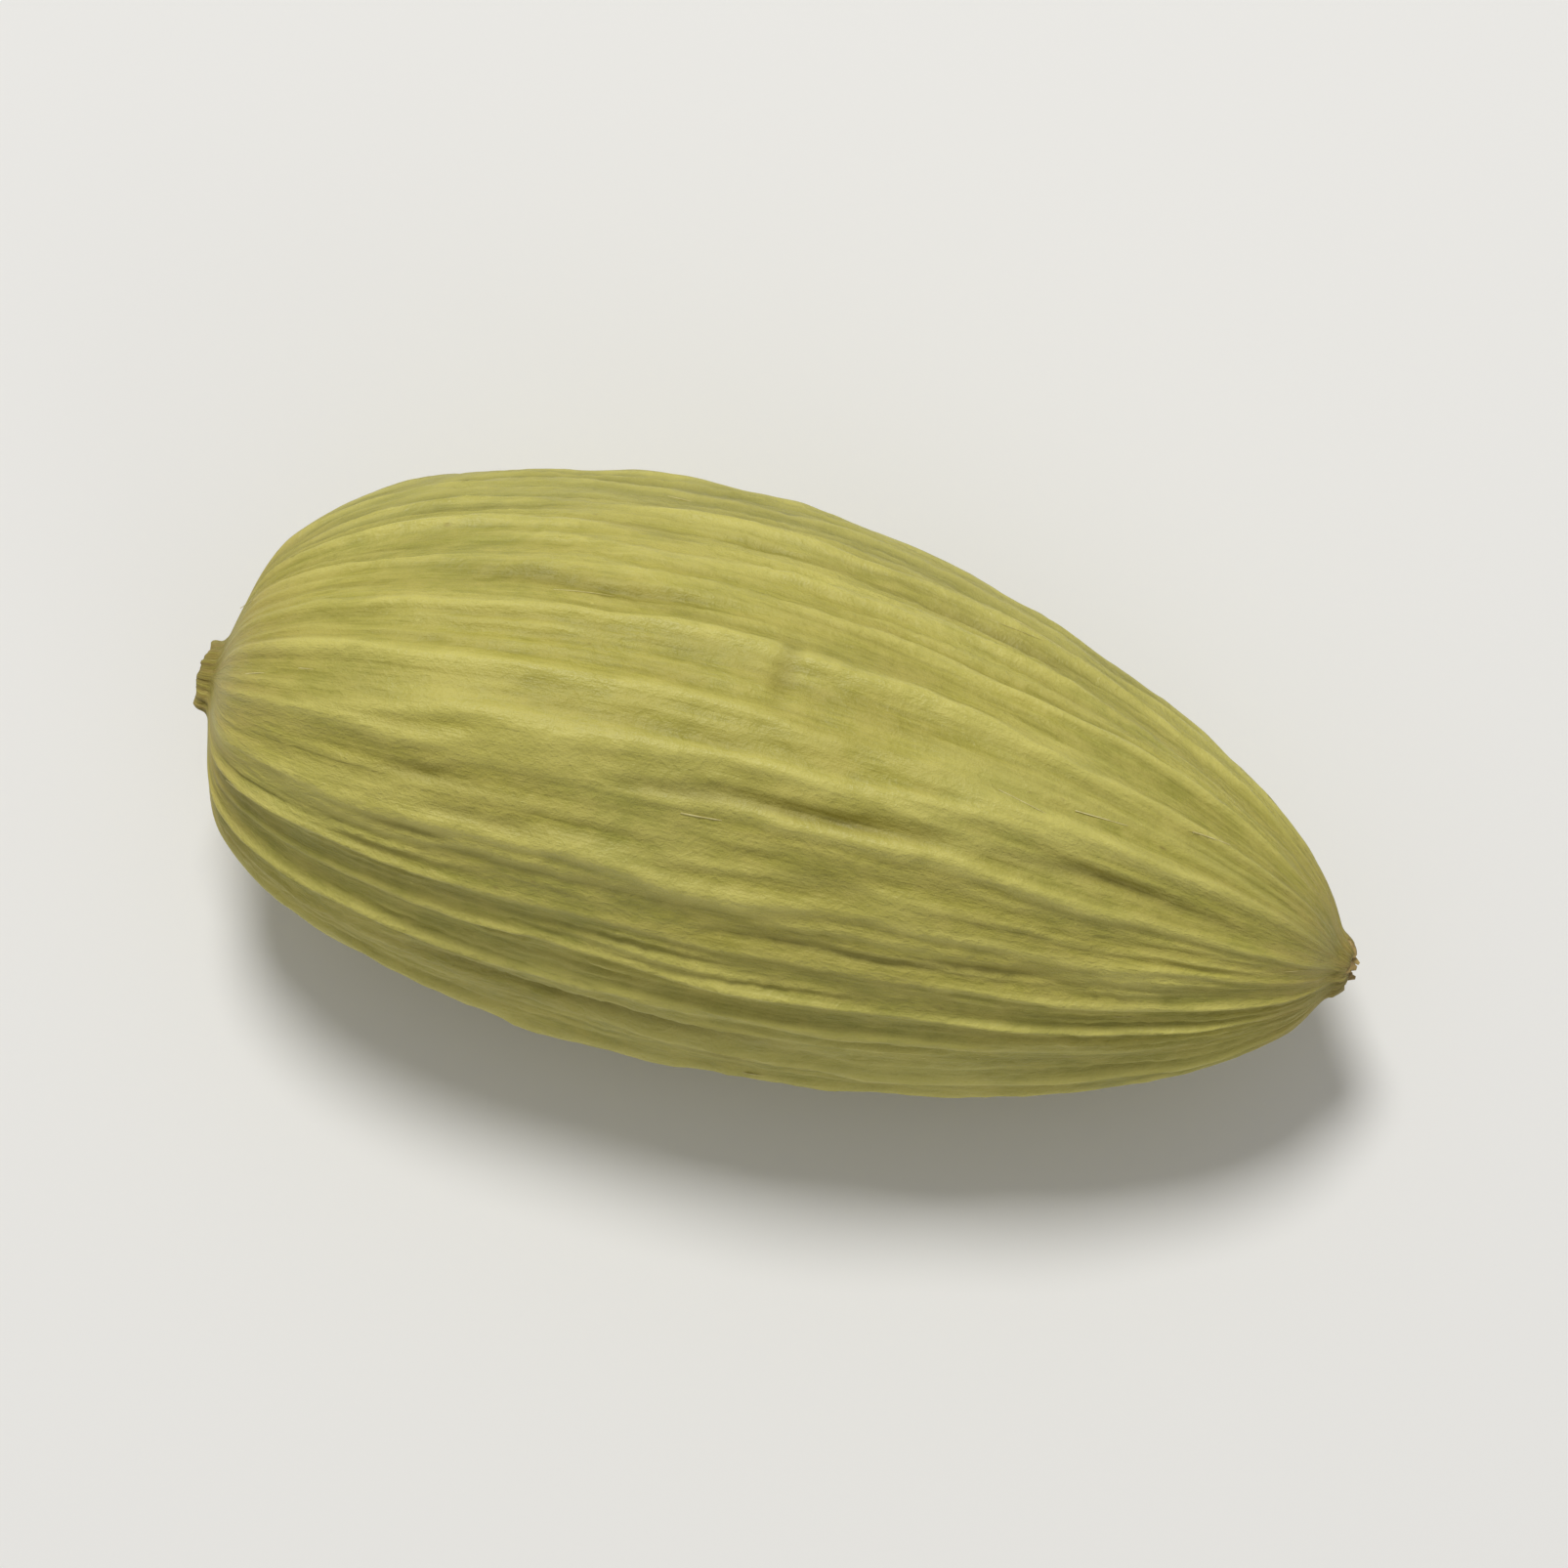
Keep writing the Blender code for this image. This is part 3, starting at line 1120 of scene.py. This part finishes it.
@dataclass(frozen=True)
class HuskFinish:
    """Dry papery husk, coloured by veins, faces, ends and spots, and painted shade in creases and on one
    face.

    Each tint is how much of its colour is laid over those before it.
    """

    name: str

    # Colours
    face: Colour
    green: Colour
    # painted shade: the darker grey-green laid on the face turned away from the light
    painted_shade: Colour
    straw: Colour
    crest: Colour
    furrow: Colour
    # painted shade laid into the creases
    crease: Colour
    tip: Colour
    scar: Colour
    brown: Colour

    # Patches and streaks
    green_tint: float = 0.75
    straw_tint: float = 0.50
    painted_shade_tint: float = 0.50
    furrow_tint: float = 0.28
    fine_furrow_tint: float = 0.32
    fine_streak_tint: float = 0.16

    # Painted shade on the face that lies away from the light, as angles from the keel
    painted_shade_from: float = math.radians(-45.0)
    painted_shade_to: float = math.radians(-75.0)

    # Veins, and painted shade in the creases: a least tint, and what patches or streaks add
    thin_crest_tint: float = 0.50
    crest_tint: float = 0.42
    crest_patches: float = 0.30
    crease_shade_tint: float = 0.34
    crease_shade_streaks: float = 0.20

    # Ends
    tip_tint: float = 0.75
    tip_patches: float = 0.6
    least_tip: float = 0.3
    tip_reach: float = 0.10
    scar_tint: float = 0.5
    stalk_scar_reach: float = 0.012
    beak_scar_reach: float = 0.015
    hollow_tint: float = 0.80

    # Spots and scurf
    speck_tint: float = 0.40
    scurf_tint: float = 0.55

    # Surface: its roughness, what patches, crests and paper change in it, and each pattern's share of
    # the fine relief
    roughness: float = 0.54
    patch_roughness: float = 0.12
    crest_smoothness: float = 0.08
    paper_roughness: float = 0.06
    fibre_relief: float = 0.30
    fine_fibre_relief: float = 0.22
    paper_relief: float = 0.30
    patch_relief: float = 0.18
    relief_depth: float = 0.050 * MM
    subsurface: float = 0.08
    subsurface_depth: float = 0.20 * MM
    subsurface_colour: Place = (1.0, 0.9, 0.4)
    specular: float = 0.42

    def material(self, grain: Grain) -> bpy.types.Material:
        """Build the material.

        Args:
            grain: the shared shader groups.

        Returns:
            The material.
        """
        shade = Shade(self.name)
        flow = shade.mark(Mark.FLOW, "Vector")
        mottle = shade.use(grain.mottle, flow, Along=4.5, Around=1.7)
        fibres = shade.use(grain.fibres, flow, Along=6.0, Around=28.0)
        fine = shade.use(grain.fibres, flow, Along=26.0, Around=85.0)
        paper = shade.use(grain.paper, flow, Along=62.0, Around=20.0)
        crest = shade.mark(Mark.CREST)
        colour = self.skin_colour(shade, mottle, fibres["Streak"], fine["Streak"])
        colour = self.line_colour(shade, colour, crest, mottle["Small"], fibres["Streak"])
        colour = self.end_colour(shade, flow, colour, mottle["Small"], fibres["Streak"])
        colour = self.spot_colour(shade, grain, flow, colour)
        gloss = self.roughness + (mottle["Small"] - 0.5) * self.patch_roughness
        gloss = gloss - crest * self.crest_smoothness + (1.0 - paper["Height"]) * self.paper_roughness
        lines = fibres["Height"] * self.fibre_relief + fine["Height"] * self.fine_fibre_relief
        height = lines + paper["Height"] * self.paper_relief + mottle["Small"] * self.patch_relief
        shade.shader.inputs["Subsurface Weight"].default_value = self.subsurface
        shade.shader.inputs["Subsurface Radius"].default_value = self.subsurface_colour
        shade.shader.inputs["Subsurface Scale"].default_value = self.subsurface_depth
        shade.shader.inputs["Specular IOR Level"].default_value = self.specular
        return shade.finish(colour, gloss, height, self.relief_depth)

    def skin_colour(self, shade: Shade, mottle: dict[str, Term], streak: Term, fine_streak: Term) -> Term:
        """Colour of the faces, their patches and their furrows, with painted shade on the face turned from
        the light.

        Args:
            shade: the material.
            mottle: its patches.
            streak, fine_streak: its broad and fine fibres.

        Returns:
            The colour so far.
        """
        broad, small = mottle["Broad"], mottle["Small"]
        lit = shade.mark(Mark.TURNED).step(self.painted_shade_to, self.painted_shade_from)
        off_crest = 1.0 - shade.mark(Mark.CREST)
        colour = shade.mix(broad * self.green_tint, self.face, self.green)
        colour = shade.mix(small * self.straw_tint, colour, self.straw)
        # Painted shade: a darker grey-green on the face turned away from the light
        colour = shade.mix((1.0 - lit) * self.painted_shade_tint, colour, self.painted_shade)
        colour = shade.mix((1.0 - streak) * off_crest * self.furrow_tint, colour, self.furrow)
        colour = shade.mix((1.0 - small) * (1.0 - fine_streak) * self.fine_furrow_tint, colour, self.furrow)
        return shade.mix(fine_streak * self.fine_streak_tint, colour, self.straw)

    def line_colour(self, shade: Shade, colour: Term, crest: Term, small: Term, streak: Term) -> Term:
        """Pale veins, and painted shade in the creases.

        Args:
            shade: the material.
            colour: the colour so far.
            crest: where veins stand out.
            small: small patches.
            streak: fibres.

        Returns:
            The colour with its lines.
        """
        colour = shade.mix(shade.mark(Mark.THIN_CREST) * self.thin_crest_tint, colour, self.crest)
        on_vein = crest.step(*PALE_VEINS) * (small * self.crest_patches + self.crest_tint)
        colour = shade.mix(on_vein, colour, self.crest)
        # Painted shade: the creases are darkened by their depth
        painted_crease_shade = shade.mark(Mark.SUNK) * (streak * self.crease_shade_streaks + self.crease_shade_tint)
        return shade.mix(painted_crease_shade, colour, self.crease)

    def end_colour(self, shade: Shade, flow: Term, colour: Term, small: Term, streak: Term) -> Term:
        """Straw towards both ends, and brown where they are torn.

        Args:
            shade: the material.
            flow: share of the way from stalk to beak, and direction round the pod.
            colour: the colour so far.
            small: small patches.
            streak: fibres.

        Returns:
            The colour with its ends.
        """
        share = shade.split(flow)[0]
        ends = (1.0 - share.step(0.0, self.tip_reach)) + share.step(1.0 - self.tip_reach, 1.0)
        near_end = (ends * (small * self.tip_patches + self.least_tip)).unit()
        colour = shade.mix(near_end * self.tip_tint, colour, self.tip)
        last = (1.0 - share.step(0.0, self.stalk_scar_reach)) + share.step(1.0 - self.beak_scar_reach, 1.0)
        colour = shade.mix((last * (1.0 - streak) * self.scar_tint).unit(), colour, self.scar)
        return shade.mix(shade.mark(Mark.WITHIN).step(*BROWN_HOLLOWS) * self.hollow_tint, colour, self.scar)

    def spot_colour(self, shade: Shade, grain: Grain, flow: Term, colour: Term) -> Term:
        """Small brown spots and pale scurf.

        Args:
            shade: the material.
            grain: the shared shader groups.
            flow: share of the way from stalk to beak, and direction round the pod.
            colour: the colour so far.

        Returns:
            The colour with its spots.
        """
        specks = shade.use(grain.specks, flow, Along=34.0, Around=15.0, Spot_Size=0.12)
        scurf = shade.use(grain.specks, flow, Along=95.0, Around=30.0, Spot_Size=0.16)
        colour = shade.mix(specks["Spot"].unit() * self.speck_tint, colour, self.brown)
        return shade.mix(scurf["Spot"].unit() * self.scurf_tint, colour, self.crest)


GREEN_HUSK = HuskFinish(
    name="green_husk",
    face=paint(178, 171, 72),
    green=paint(154, 154, 64),
    # painted shade on the face turned away from the light
    painted_shade=paint(138, 138, 80),
    straw=paint(196, 182, 98),
    crest=paint(209, 200, 108),
    furrow=paint(128, 118, 46),
    # painted shade in the creases
    crease=paint(96, 84, 34),
    tip=paint(180, 160, 90),
    scar=paint(140, 114, 64),
    brown=paint(116, 88, 50),
)


@dataclass(frozen=True)
class FibreFinish:
    """Bare dry fibre, in two tones."""

    name: str
    pale: Colour
    dark: Colour
    roughness: float = 0.60
    relief_depth: float = 0.006 * MM

    def material(self, grain: Grain) -> bpy.types.Material:
        """Build the material.

        Args:
            grain: the shared shader groups.

        Returns:
            The material.
        """
        shade = Shade(self.name)
        place = shade.term(shade.add("ShaderNodeTexCoord"), "Object")
        mottle = shade.use(grain.mottle, place, Along=0.9 / MM, Around=1.4 / MM)
        fibres = shade.use(grain.fibres, place, Along=2.0 / MM, Around=20.0 / MM)
        colour = shade.mix(mottle["Small"], self.pale, self.dark)
        gloss = self.roughness + (fibres["Streak"] - 0.5) * 0.1
        return shade.finish(colour, gloss, fibres["Height"], self.relief_depth)


LOOSE_FIBRE = FibreFinish("straw_fibre", paint(214, 204, 142), paint(186, 174, 104))
END_FIBRE = FibreFinish("brown_fibre", paint(178, 154, 94), paint(126, 102, 58))


@dataclass(frozen=True)
class Strand:
    """A thin closed body that follows a bent line and narrows to its far end."""

    length: float
    lift: float
    sink: float
    radius: float
    flatness: float
    tip: float
    sides: int = 6
    steps: int = 6

    def shape(self, form: Form) -> bpy.types.NodeSocket:
        """Add the strand to a form, along its own X and bent up towards its own Z.

        Args:
            form: the form.

        Returns:
            The strand's mesh.
        """
        line = form.add(
            "GeometryNodeCurveQuadraticBezier",
            Resolution=self.steps,
            Start=(-self.length / 2, 0.0, -self.sink),
            Middle=(0.0, self.lift * 0.5, self.lift * 2),
            End=(self.length / 2, 0.0, -self.sink),
        )
        ring = form.add("GeometryNodeCurvePrimitiveCircle", Resolution=self.sides, Radius=self.radius)
        flattened = (1.0, self.flatness, 1.0)
        flat = form.add("GeometryNodeTransform", Geometry=ring.outputs["Curve"], Scale=flattened)
        far = form.term(form.add("GeometryNodeSplineParameter"), "Factor")
        body = form.add(
            "GeometryNodeCurveToMesh",
            Curve=line.outputs["Curve"],
            Profile_Curve=flat.outputs["Geometry"],
            Scale=1.0 - far * far * (1.0 - self.tip),
            Fill_Caps=True,
        )
        return form.smooth(body.outputs["Mesh"])


@dataclass
class LooseFibres:
    """Hair-thin fibres that have come loose along the veins.

    The density is a number for each square millimetre, and the drift is how far a fibre strays
    from the pod's long way.
    """

    strand: Strand = Strand(
        length=0.90 * MM, lift=0.012 * MM, sink=0.014 * MM, radius=0.0080 * MM, flatness=0.8, tip=0.35
    )
    density: float = 0.11
    drift: float = 0.08
    least_size: Place = (0.35, -1.6, 0.5)
    greatest_size: Place = (1.35, 1.6, 1.3)
    clear_of_floor: float = 0.8 * MM
    seed: int = 7

    def scatter(self, form: Form, skin: bpy.types.Object) -> bpy.types.Node:
        """Scatter points over the husk, clear of the floor.

        Args:
            form: the form.
            skin: the finished husk.

        Returns:
            The node that puts out the points.
        """
        source = form.add("GeometryNodeObjectInfo", Object=skin)
        height = form.split(form.here())[2]
        return form.add(
            "GeometryNodeDistributePointsOnFaces",
            Mesh=source.outputs["Geometry"],
            Selection=height.math("GREATER_THAN", self.clear_of_floor),
            Density=form.given("Density"),
            Seed=form.given("Seed"),
        )

    def lie(self, form: Form, points: bpy.types.Node) -> Term:
        """Turn each fibre to lie on the skin, along the pod.

        Args:
            form: the form.
            points: the node that puts out the points.

        Returns:
            The turn of each fibre.
        """
        ahead = form.draw(
            "FLOAT_VECTOR", (1.0, -self.drift, -self.drift), (1.0, self.drift, self.drift), self.seed + 1
        )
        turned = form.add(
            "FunctionNodeAlignRotationToVector",
            {"axis": "X", "pivot_axis": "Z"},
            Rotation=points.outputs["Rotation"],
            Vector=ahead,
        )
        return form.term(turned, "Rotation")

    def build(self, skin: bpy.types.Object, material: bpy.types.Material) -> bpy.types.Object:
        """Lay the fibres on the husk.

        Args:
            skin: the finished husk.
            material: their finish.

        Returns:
            The finished object.
        """
        form = Form("loose_fibres", {"Density": "Float", "Seed": "Int"})
        points = self.scatter(form, skin)
        laid = form.add(
            "GeometryNodeInstanceOnPoints",
            Points=points.outputs["Points"],
            Instance=self.strand.shape(form),
            Rotation=self.lie(form, points),
            Scale=form.draw("FLOAT_VECTOR", self.least_size, self.greatest_size, self.seed + 2),
        )
        sizes = {"Density": self.density / MM**2, "Seed": self.seed}
        return form.grow(laid.outputs["Instances"], material, sizes)


@dataclass
class EndTuft:
    """Dry scraps that stand round one end of the pod: stalk fibres, or what is left of the flower.

    Facing is -1 for the stalk and 1 for the beak, and a scrap leans outwards by the share that
    lean gives, more or less.
    """

    name: str
    strand: Strand
    count: int
    spread: float
    facing: float
    lean: float
    seed: int
    lean_play: float = 0.25
    turn_play: float = 0.25
    least_out: float = 0.45
    least_size: Place = (0.30, 0.6, 0.6)
    greatest_size: Place = (1.25, 1.4, 1.4)

    def turns(self, form: Form) -> Term:
        """The angle of each scrap round the end, evenly spaced with some play.

        Args:
            form: the form.

        Returns:
            The angles.
        """
        number = form.term(form.add("GeometryNodeInputIndex"))
        play = form.draw("FLOAT", -self.turn_play, self.turn_play, self.seed)
        return number * (math.tau / self.count) + play

    def feet(self, form: Form, turn: Term) -> bpy.types.NodeSocket:
        """Points for the scraps' feet, round the middle of the end.

        Args:
            form: the form.
            turn: the scraps' angles.

        Returns:
            The points.
        """
        out = form.draw("FLOAT", self.least_out, 1.0, self.seed + 1) * form.given("Spread")
        away = form.join(0.0, out * turn.cos(), out * turn.sin())
        place = form.vectors("ADD", away, form.given("End"))
        return form.add("GeometryNodePoints", Count=form.given("Count"), Position=place).outputs["Points"]

    def stand(self, form: Form, turn: Term) -> Term:
        """Turn each scrap to stand out from the end, leaning a little.

        Args:
            form: the form.
            turn: the scraps' angles.

        Returns:
            The turn of each scrap.
        """
        lean = form.draw("FLOAT", self.lean - self.lean_play, self.lean + self.lean_play, self.seed + 2)
        ahead = form.join(self.facing, lean * turn.cos(), lean * turn.sin())
        turned = form.add("FunctionNodeAlignRotationToVector", {"axis": "X"}, Vector=ahead)
        return form.term(turned, "Rotation")

    def build(self, end: Vector, material: bpy.types.Material) -> bpy.types.Object:
        """Stand the scraps on a small round patch.

        Args:
            end: the middle of the pod's end.
            material: their finish.

        Returns:
            The finished object.
        """
        form = Form(self.name, {"Count": "Int", "Spread": "Float", "End": "Vector"})
        turn = self.turns(form)
        standing = form.add(
            "GeometryNodeInstanceOnPoints",
            Points=self.feet(form, turn),
            Instance=self.strand.shape(form),
            Rotation=self.stand(form, turn),
            Scale=form.draw("FLOAT_VECTOR", self.least_size, self.greatest_size, self.seed + 3),
        )
        sizes = {"Count": self.count, "Spread": self.spread, "End": tuple(end)}
        return form.grow(standing.outputs["Instances"], material, sizes)


STALK_FIBRES = EndTuft(
    name="stalk_fibres",
    strand=Strand(length=0.15 * MM, lift=0.010 * MM, sink=0.0, radius=0.026 * MM, flatness=0.7, tip=0.40),
    count=19,
    spread=0.34 * MM,
    facing=-1.0,
    lean=0.10,
    seed=21,
)
BEAK_SCALES = EndTuft(
    name="beak_scales",
    strand=Strand(
        length=0.28 * MM, lift=0.026 * MM, sink=0.0, radius=0.090 * MM, flatness=0.22, tip=0.25, sides=8
    ),
    count=9,
    spread=0.24 * MM,
    facing=1.0,
    lean=-0.25,
    seed=41,
)


@dataclass(frozen=True)
class Lamp:
    """A soft round light: where it stands from the pod in metres, its size and its power in watts."""

    place: Place
    size: float
    power: float


class Light(Enum):
    """The studio lights."""

    KEY = Lamp((-0.06, 0.12, 0.28), 0.09, 0.62)
    FILL = Lamp((0.20, -0.20, 0.16), 0.20, 0.06)


@dataclass
class Studio:
    """Floor, lights and camera."""

    floor_radius: float = 3.0
    floor_sides: int = 64
    floor_colour: Colour = paint(236, 235, 232)
    floor_roughness: float = 0.7
    sky_colour: Colour = (1.0, 0.99, 0.97, 1.0)
    sky_strength: float = 0.34
    look_down: float = math.radians(80.0)
    axis_slope: float = math.radians(14.2)
    pod_share: float = 0.76
    lens: float = 180.0
    sensor: float = 36.0
    sight: float = 20.0

    def floor(self) -> bpy.types.Object:
        """Lay a plain pale floor.

        Returns:
            The floor.
        """
        mesh = bpy.data.meshes.new("floor")
        form = bmesh.new()
        bmesh.ops.create_circle(form, cap_ends=True, radius=self.floor_radius, segments=self.floor_sides)
        form.to_mesh(mesh)
        form.free()
        material = bpy.data.materials.new("floor_white")
        material.use_nodes = True
        shader = material.node_tree.nodes["Principled BSDF"]
        shader.inputs["Base Color"].default_value = self.floor_colour
        shader.inputs["Roughness"].default_value = self.floor_roughness
        mesh.materials.append(material)
        floor = bpy.data.objects.new("floor", mesh)
        bpy.context.scene.collection.objects.link(floor)
        return floor

    def lights(self) -> None:
        """Hang the soft lights, and set an even pale surrounding."""
        for light in Light:
            lamp = bpy.data.lights.new(light.name.lower(), "AREA")
            lamp.energy = light.value.power
            lamp.size = light.value.size
            lamp.shape = "DISK"
            hung = bpy.data.objects.new(lamp.name, lamp)
            hung.location = light.value.place
            hung.rotation_euler = (-Vector(light.value.place)).to_track_quat("-Z", "Y").to_euler()
            bpy.context.scene.collection.objects.link(hung)
        world = bpy.data.worlds.new("studio")
        world.use_nodes = True
        sky = world.node_tree.nodes["Background"]
        sky.inputs["Color"].default_value = self.sky_colour
        sky.inputs["Strength"].default_value = self.sky_strength
        bpy.context.scene.world = world
        bpy.context.scene.view_settings.view_transform = "Standard"

    def camera(self) -> bpy.types.Object:
        """Set a camera that looks down on the pod, whose long axis runs down to the right.

        Returns:
            The camera.
        """
        low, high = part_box(NODE)
        middle = (low + high) / 2
        away = (high.x - low.x) / self.pod_share * self.lens / self.sensor
        lens = bpy.data.cameras.new("camera")
        lens.lens = self.lens
        lens.sensor_width = self.sensor
        lens.clip_start = MM
        lens.clip_end = self.sight
        camera = bpy.data.objects.new("camera", lens)
        tilt = Matrix.Rotation(math.pi / 2 - self.look_down, 4, "X")
        turn = Matrix.Rotation(self.axis_slope, 4, "Z") @ tilt
        camera.matrix_world = Matrix.Translation(middle) @ turn @ Matrix.Translation((0.0, 0.0, away))
        bpy.context.scene.collection.objects.link(camera)
        bpy.context.scene.camera = camera
        return camera


def end_of(husk: bpy.types.Object, side: int) -> Vector:
    """Middle of the husk's hollow end.

    Args:
        husk: the finished husk.
        side: -1 for the stalk, 1 for the beak.

    Returns:
        The point.
    """
    within = husk.data.attributes[Mark.WITHIN.value].data
    points = husk.data.vertices
    deepest = max(range(len(points)), key=lambda i: within[i].value + (points[i].co.x * side > 0))
    return points[deepest].co.copy()


def settle(piece: bpy.types.Object, *nodes: str) -> None:
    """Tie a finished piece to the pod's body.

    Args:
        piece: the finished piece.
        nodes: the CAD nodes that it stands for.
    """
    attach(piece, BODY)
    if nodes:
        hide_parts(*nodes)
    LOG.info("%s: %d faces", piece.name, len(piece.data.polygons))


def main() -> None:
    """Build the pod and its studio."""
    logging.basicConfig(level=logging.INFO, format="%(message)s")
    grain = Grain()
    husk = Husk().build(GREEN_HUSK.material(grain))
    settle(husk, NODE)
    settle(LooseFibres().build(husk, LOOSE_FIBRE.material(grain)))
    scrap = END_FIBRE.material(grain)
    settle(STALK_FIBRES.build(end_of(husk, -1), scrap))
    settle(BEAK_SCALES.build(end_of(husk, 1), scrap))
    studio = Studio()
    studio.floor()
    studio.lights()
    studio.camera()


if __name__ == "__main__":
    main()
